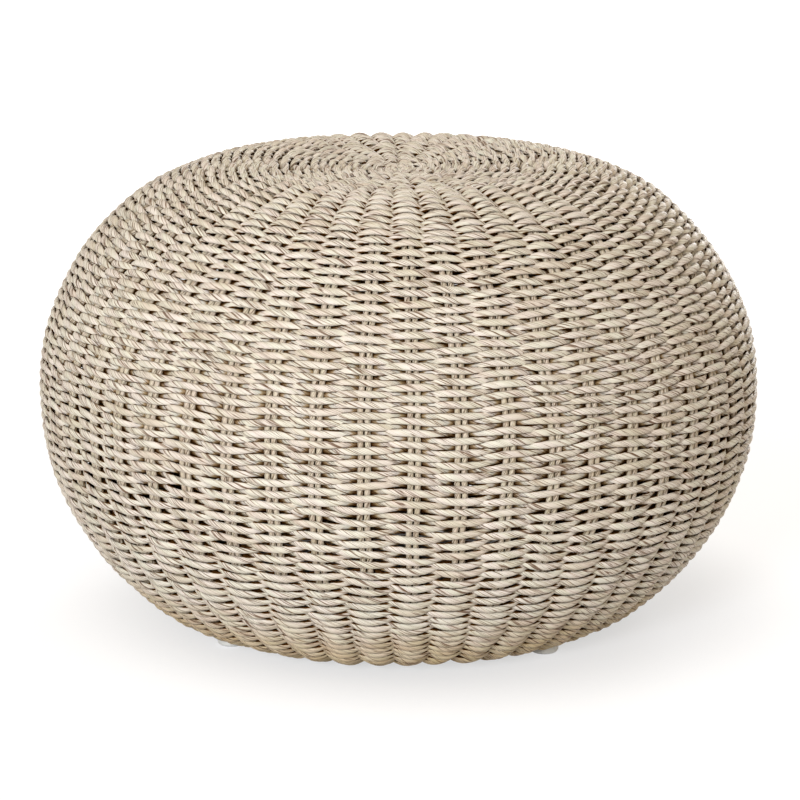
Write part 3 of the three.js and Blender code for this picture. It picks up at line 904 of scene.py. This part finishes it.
way = add(weaver, "ShaderNodeMapRange", {
    "Value": row, "From Min": given["First row"], "From Max": given["Last row"],
})["Result"]
lift, dip, float_height, squeezed_height = (
    add(weaver, "ShaderNodeMix", {
        "Factor": way, "A": given[f"First {size}"], "B": given[f"Last {size}"],
    })[0]
    for size in ("lift", "dip", "float height", "squeezed height")
)
over = add(weaver, "ShaderNodeMath", {0: phase}, operation="COSINE")[0]
under = add(weaver, "ShaderNodeMath", {0: over, 1: -0.5, 2: 0.5}, operation="MULTIPLY_ADD")[0]
level = add(weaver, "ShaderNodeMath", {0: under, 1: dip}, operation="POWER")[0]
level = add(weaver, "ShaderNodeMath", {0: level, 1: -2.0, 2: 1.0}, operation="MULTIPLY_ADD")[0]
steepness = add(weaver, "ShaderNodeMath", {0: dip, 1: 1.0}, operation="SUBTRACT")[0]
steepness = add(weaver, "ShaderNodeMath", {0: under, 1: steepness}, operation="POWER")[0]
steepness = add(weaver, "ShaderNodeMath", {0: steepness, 1: dip}, operation="MULTIPLY")[0]
swell = add(weaver, "ShaderNodeMath", {0: over}, operation="ABSOLUTE")[0]
swell = add(weaver, "ShaderNodeMath", {0: swell, 1: SWELL_SHARPNESS}, operation="POWER")[0]
hidden_height = add(weaver, "ShaderNodeMath", {0: float_height, 1: given["Hidden extra"]})[0]
thickness = add(weaver, "ShaderNodeMapRange", {
    "Value": thickness, "From Min": 0.25, "From Max": 0.75,
    "To Min": THINNEST_SHARE, "To Max": THICKEST_SHARE,
})["Result"]
tall = add(weaver, "ShaderNodeMapRange", {
    "Value": over, "From Min": -1.0, "To Min": hidden_height, "To Max": float_height,
})["Result"]
tall, deep = (
    add(weaver, "ShaderNodeMapRange", {"Value": swell, "To Min": least, "To Max": most})["Result"]
    for least, most in ((squeezed_height, tall), (given["Squeezed depth"], given["Float depth"]))
)
tall = add(weaver, "ShaderNodeMath", {0: tall, 1: thickness}, operation="MULTIPLY")[0]
half = half_of_ring(weaver, ring, steps)
radius = add(weaver, "ShaderNodeSeparateXYZ", {"Vector": placed["Point"]})["X"]
slope = add(weaver, "ShaderNodeMath", {0: phase}, operation="SINE")[0]
for operation, other in (
    ("MULTIPLY", given["Pairs"]), ("MULTIPLY", steepness), ("MULTIPLY", lift), ("DIVIDE", radius),
    ("MULTIPLY", -0.5),
):
    slope = add(weaver, "ShaderNodeMath", {0: slope, 1: other}, operation=operation)[0]
tilt = add(weaver, "ShaderNodeMath", {0: slope}, operation="ARCTANGENT")[0]
round_share = add(weaver, "ShaderNodeMath", {0: side, 1: given["Sides"]}, operation="DIVIDE")[0]
round_angle = add(weaver, "ShaderNodeMath", {
    0: round_share, 1: 2 * math.pi, 2: -math.pi / 2,
}, operation="MULTIPLY_ADD")[0]
(tilt_out, tilt_back), (along_line, facing) = (
    [add(weaver, "ShaderNodeMath", {0: turn}, operation=part)[0] for part in ("COSINE", "SINE")]
    for turn in (tilt, round_angle)
)
for factor in (tall, half):
    along_line = add(weaver, "ShaderNodeMath", {0: along_line, 1: factor}, operation="MULTIPLY")[0]
through = facing
for factor in (deep, half):
    through = add(weaver, "ShaderNodeMath", {0: through, 1: factor}, operation="MULTIPLY")[0]
raised = add(weaver, "ShaderNodeMath", {0: level, 1: lift}, operation="MULTIPLY")[0]
raised = add(weaver, "ShaderNodeMath", {
    0: through, 1: tilt_out, 2: raised,
}, operation="MULTIPLY_ADD")[0]
sideways = through
for factor in (tilt_back, -1.0):
    sideways = add(weaver, "ShaderNodeMath", {0: sideways, 1: factor}, operation="MULTIPLY")[0]
sideways = add(weaver, "ShaderNodeCombineXYZ", {"Y": sideways})[0]
outwards, downwards = (
    add(weaver, "ShaderNodeVectorMath", {0: placed[way], "Scale": size}, operation="SCALE")[0]
    for way, size in (("Out", raised), ("Down", along_line))
)
point = placed["Point"]
for shift in (outwards, sideways, downwards):
    point = add(weaver, "ShaderNodeVectorMath", {0: point, 1: shift})[0]
stretch = add(weaver, "ShaderNodeMath", {0: radius, 1: per_row}, operation="DIVIDE")[0]
stretch = add(weaver, "ShaderNodeMath", {0: stretch, 1: 2 * math.pi}, operation="MULTIPLY")[0]
run = add(weaver, "GeometryNodeAccumulateField", {
    0: stretch, "Group ID": side,
}, data_type="FLOAT", domain="POINT")["Trailing"]
# Painted shade: how far out the point stands, less a dip on the cord's sides and back where it is
# not swollen over a pair, goes to the resin, which darkens it there.
turned_away = add(weaver, "ShaderNodeMath", {0: facing, 1: 1.0}, operation="SUBTRACT")[0]
beside = add(weaver, "ShaderNodeMath", {0: 1.0, 1: swell}, operation="SUBTRACT")[0]
crevice = turned_away
for factor in (turned_away, beside, given["Crevice"]):
    crevice = add(weaver, "ShaderNodeMath", {0: crevice, 1: factor}, operation="MULTIPLY")[0]
openness = add(weaver, "ShaderNodeMath", {0: raised, 1: crevice}, operation="SUBTRACT")[0]
close_cord(weaver, tube, {"X": run, "Y": round_share}, openness, point, placed, given["Resin"])

shoulder_start, shoulder_middle, waist_start, waist_middle, base_start, border_start = (
    share * skin_length for share in (0.27, 0.395, 0.52, 0.645, 0.77, 0.96)
)
for name, first, last, pairs, lifts, heights, squeezed, dips, crevice, jitter, node in (
    ("seat_weaver_centre", POLE_GAP, INNER_START, CENTRE_PAIRS,
     (0.0040, 0.0046), (0.0056, 0.0058), (0.0052, 0.0052), (1.05, 1.05), 0.014, 2.6, "woven_seat"),
    ("seat_weaver_inner", INNER_START, BODY_START, INNER_PAIRS,
     (0.0046, 0.0050), (0.0057, 0.0060), (0.0051, 0.0052), (1.05, 1.05), 0.015, 1.3, "woven_seat"),
    ("seat_weaver_outer", BODY_START, shoulder_start, BODY_PAIRS,
     (0.0050, 0.0052), (0.0059, 0.0066), (0.0051, 0.0057), (1.05, 1.1), 0.012, 0.6, "woven_seat"),
    ("shoulder_weaver_upper", shoulder_start, shoulder_middle, BODY_PAIRS,
     (0.0052, 0.0046), (0.0066, 0.0065), (0.0057, 0.0058), (1.1, 1.45), 0.010, 0.3,
     "woven_shoulder"),
    ("shoulder_weaver_lower", shoulder_middle, waist_start, BODY_PAIRS,
     (0.0046, 0.0041), (0.0065, 0.0057), (0.0058, 0.0055), (1.45, 1.7), 0.013, 0.3,
     "woven_shoulder"),
    ("waist_weaver_upper", waist_start, waist_middle, BODY_PAIRS,
     (0.0041, 0.0042), (0.0056, 0.0059), (0.0055, 0.0057), (1.7, 1.6), 0.014, 0.3, "woven_waist"),
    ("waist_weaver_lower", waist_middle, base_start, BODY_PAIRS,
     (0.0042, 0.0049), (0.0059, 0.0067), (0.0057, 0.0059), (1.6, 1.2), 0.010, 0.3, "woven_waist"),
    ("base_weaver", base_start, border_start, BODY_PAIRS,
     (0.0049, 0.0053), (0.0067, 0.0067), (0.0059, 0.0059), (1.2, 1.05), 0.010, 0.5, "woven_base"),
    ("border_weaver", border_start, meridian_length, BODY_PAIRS,
     (0.0053, 0.0046), (0.0067, 0.0062), (0.0059, 0.0054), (1.05, 1.2), 0.010, 0.5, "woven_border"),
):
    make(name, weaver, {
        "Line": meridian, "First row": float(row_at(first)), "Last row": float(row_at(last)),
        "Pairs": pairs, "Steps per pair": STEPS_PER_PAIR, "Sides": WEAVER_SIDES,
        "First lift": lifts[0], "Last lift": lifts[1], "First dip": dips[0], "Last dip": dips[1],
        "First float height": heights[0], "Last float height": heights[1],
        "First squeezed height": squeezed[0], "Last squeezed height": squeezed[1],
        "Float depth": FLOAT_DEPTH, "Squeezed depth": SQUEEZED_DEPTH, "Hidden extra": HIDDEN_EXTRA,
        "Crevice": crevice, "Wander": WANDER, "Jitter": jitter, "First angle": FIRST_STAKE,
        "Resin": weaver_resin,
    }, "woven_resin", node)
bpy.data.objects.remove(meridian)

# Stage
# A white studio floor, a large soft lamp at the upper left in front, a weaker one behind and a
# little to the right, and an even surround.
EYE = Vector((0.1703, -2.3562, 0.789))
AIM = Vector((0, 0, 0.1781))
PHOTO_FOCAL = 2842 / 800
PHOTO_SHIFT = 1.5 / 800
SENSOR = 36
FLOOR_REACH = 9
SHADOW_START = 0.19
SHADOW_END = 0.33
HAZE_START = 0.5
HAZE_END = 1.8


def seen_by_eye(tree):
    """Whether a ray comes from the eye, straight or by a mirror or glass, and not from a surface
    that the stage lights."""
    ray = add(tree, "ShaderNodeLightPath", {})
    seen = ray["Is Camera Ray"]
    for way in ("Is Glossy Ray", "Is Transmission Ray"):
        seen = add(tree, "ShaderNodeMath", {0: seen, 1: ray[way]}, operation="MAXIMUM")[0]
    return seen


floor = new_object("floor", bpy.data.meshes.new("floor"))
corners = [(x * FLOOR_REACH, y * FLOOR_REACH, 0) for x, y in ((-1, -1), (1, -1), (1, 1), (-1, 1))]
floor.data.from_pydata(corners, [], [(0, 1, 2, 3)])

# White paper that glows a little, as the photograph's floor is lit more evenly than two lamps can.
# The glow is weaker close round the object and stops beneath it, which paints a soft shadow round
# it and a dark shadow under it.
paper, tree = material_tree("white_studio_floor")
seen = seen_by_eye(tree)
matt = add(tree, "ShaderNodeMix", {
    0: seen, 6: linear("#c8c8c8"), 7: linear("#9ea0a5"),
}, data_type="RGBA")[2]
diffuse = add(tree, "ShaderNodeBsdfDiffuse", {"Color": matt})[0]
place = add(tree, "ShaderNodeTexCoord", {})["Object"]
away, hollow = (
    add(tree, "ShaderNodeMapping", {
        "Vector": place, "Location": middle, "Scale": radii,
    }, vector_type="TEXTURE")["Vector"]
    for middle, radii in (((0.03, 0, 0), (1.07, 0.96, 1)), ((0, 0.03, 0), (0.182, 0.172, 1)))
)
away, hollow = (
    add(tree, "ShaderNodeVectorMath", {0: oval}, operation="LENGTH")["Value"]
    for oval in (away, hollow)
)
# Painted shadow on the floor: no glow in the oval under the object, and less glow close round it.
beneath, near, beyond = (
    add(tree, "ShaderNodeMapRange", {
        "Value": distance, "From Min": start, "From Max": end, "To Min": least, "To Max": most,
    }, interpolation_type="SMOOTHSTEP")["Result"]
    for distance, start, end, least, most in (
        (hollow, 0.92, 1.1, 0.0, 1.0), (away, SHADOW_START, SHADOW_END, 0.61, 0.78),
        (away, HAZE_START, HAZE_END, 0.0, 0.22),
    )
)
strength = add(tree, "ShaderNodeMath", {0: near, 1: beyond})[0]
for share in (beneath, seen):
    strength = add(tree, "ShaderNodeMath", {0: strength, 1: share}, operation="MULTIPLY")[0]
glow = add(tree, "ShaderNodeEmission", {"Strength": strength})[0]
lit = add(tree, "ShaderNodeAddShader", {0: diffuse, 1: glow})[0]
from_below = add(tree, "ShaderNodeNewGeometry", {})["Backfacing"]
clear = add(tree, "ShaderNodeBsdfTransparent", {})[0]
one_sided = add(tree, "ShaderNodeMixShader", {0: from_below, 1: lit, 2: clear})[0]
add(tree, "ShaderNodeOutputMaterial", {"Surface": one_sided})
floor.data.materials.append(paper)

world = bpy.data.worlds.new("surround")
bpy.context.scene.world = world
world.use_nodes = True
tree = world.node_tree
tree.nodes.clear()
seen = seen_by_eye(tree)
level = add(tree, "ShaderNodeMapRange", {"Value": seen, "To Min": 0.63, "To Max": 1.0})["Result"]
warm = add(tree, "ShaderNodeMix", {
    0: seen, 6: linear("#ffeacc"), 7: (1, 1, 1, 1),
}, data_type="RGBA")[2]
surround = add(tree, "ShaderNodeBackground", {"Color": warm, "Strength": level})[0]
add(tree, "ShaderNodeOutputWorld", {"Surface": surround})

for name, place, size, power in (
    ("soft_lamp", Vector((-0.85, -3.3, 1.35)), 1.0, 86),
    ("back_lamp", Vector((1.0, 3.1, 0.95)), 1.2, 42),
):
    lamp = bpy.data.lights.new(name, "AREA")
    lamp.shape = "DISK"
    lamp.size = size
    lamp.energy = power
    lamp.color = (0.95, 0.975, 1.0)
    lamp_object = new_object(name, lamp)
    lamp_object.location = place
    lamp_object.rotation_euler = (AIM - place).to_track_quat("-Z", "Y").to_euler()

camera = bpy.data.cameras.new("camera")
camera.sensor_width = SENSOR
camera.lens = SENSOR * PHOTO_FOCAL
camera.shift_x = PHOTO_SHIFT
camera_object = new_object("camera", camera)
camera_object.location = EYE
camera_object.rotation_euler = (AIM - EYE).to_track_quat("-Z", "Y").to_euler()
bpy.context.scene.camera = camera_object
bpy.context.scene.view_settings.view_transform = "Standard"
